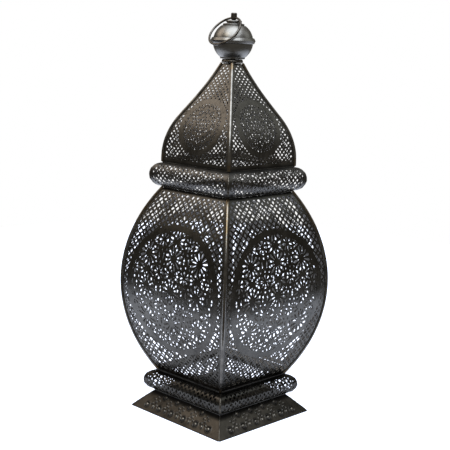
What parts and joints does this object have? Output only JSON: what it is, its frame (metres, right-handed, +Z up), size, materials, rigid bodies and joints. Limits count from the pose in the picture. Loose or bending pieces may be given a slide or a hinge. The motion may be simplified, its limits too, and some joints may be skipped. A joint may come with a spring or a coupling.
{
  "type": "moroccan metal lantern",
  "caption": "Square metal candle lantern with bulging pierced sides, flared foot, onion dome, ball finial with a carrying loop, and a hinged door at the back.",
  "frame": {"origin": "centre of the square foot, on the surface the lantern stands on", "axes": "+Z up along the lantern's axis; -Y front side, +X right side, +Y back side with the door, -X left side"},
  "size_m": [0.2088, 0.2138, 0.5597],
  "materials": {
    "etched_sheet": "etched sheet, antiqued dark bronze, satin",
    "stamped_base": "stamped sheet, antiqued bronze with rubbed highlights",
    "corner_rod": "half-bright rod, rubbed",
    "spun_finial": "spun, semi-polished, darkened",
    "loop_wire": "drawn wire, darkened",
    "fastener": "darkened",
    "inner_sheet": "dull, dark"
  },
  "bodies": {
    "lantern": {"ball_bead": "spun_finial", "ball_lower_shell": "spun_finial", "ball_upper_shell": "spun_finial", "body_panel_front": "etched_sheet", "body_panel_left": "etched_sheet", "body_panel_right": "etched_sheet", "body_rod_back_left": "corner_rod", "body_rod_back_right": "corner_rod", "body_rod_front_left": "corner_rod", "body_rod_front_right": "corner_rod", "button_rivet": "fastener", "candle_pan": "inner_sheet", "candle_spike": "fastener", "cap_large": "spun_finial", "cap_small": "spun_finial", "dome_frame": "inner_sheet", "dome_panel_back": "etched_sheet", "dome_panel_front": "etched_sheet", "dome_panel_left": "etched_sheet", "dome_panel_right": "etched_sheet", "dome_rod_back_left": "corner_rod", "dome_rod_back_right": "corner_rod", "dome_rod_front_left": "corner_rod", "dome_rod_front_right": "corner_rod", "door_header": "etched_sheet", "door_sill": "etched_sheet", "finial_stud": "spun_finial", "floor_plate": "inner_sheet", "hinge_leaf_fixed": "fastener", "hinge_pin": "fastener", "jamb_left": "etched_sheet", "jamb_right": "etched_sheet", "lower_frame": "inner_sheet", "lower_ring_back": "etched_sheet", "lower_ring_front": "etched_sheet", "lower_ring_left": "etched_sheet", "lower_ring_right": "etched_sheet", "neck_collar": "spun_finial", "skirt_back": "stamped_base", "skirt_front": "stamped_base", "skirt_left": "stamped_base", "skirt_right": "stamped_base", "spike_nut": "fastener", "stud_nut": "fastener", "stud_washer": "fastener", "top_plate": "inner_sheet", "upper_frame": "inner_sheet", "upper_ring_back": "etched_sheet", "upper_ring_front": "etched_sheet", "upper_ring_left": "etched_sheet", "upper_ring_right": "etched_sheet"},
    "door": {"door_panel": "etched_sheet", "hinge_leaf_door": "fastener", "door_knob": "fastener"},
    "turn_button": {"turn_button": "fastener"},
    "carrying_loop": {"carrying_loop": "loop_wire"}
  },
  "joints": [
    {"name": "door_hinge", "type": "hinge", "parent": "lantern", "child": "door", "pos_m": [0.0899, 0.1051, 0.188], "axis": [0, 0, -1], "range_deg": [0, 120]},
    {"name": "button_pivot", "type": "hinge", "parent": "lantern", "child": "turn_button", "pos_m": [-0.0946, 0.1035, 0.188], "axis": [0, -1, 0], "range_deg": [0, 90]},
    {"name": "loop_pivot", "type": "hinge", "parent": "lantern", "child": "carrying_loop", "pos_m": [0, 0, 0.5531], "axis": [-1, 0, 0], "range_deg": [0, 276]}
  ]
}
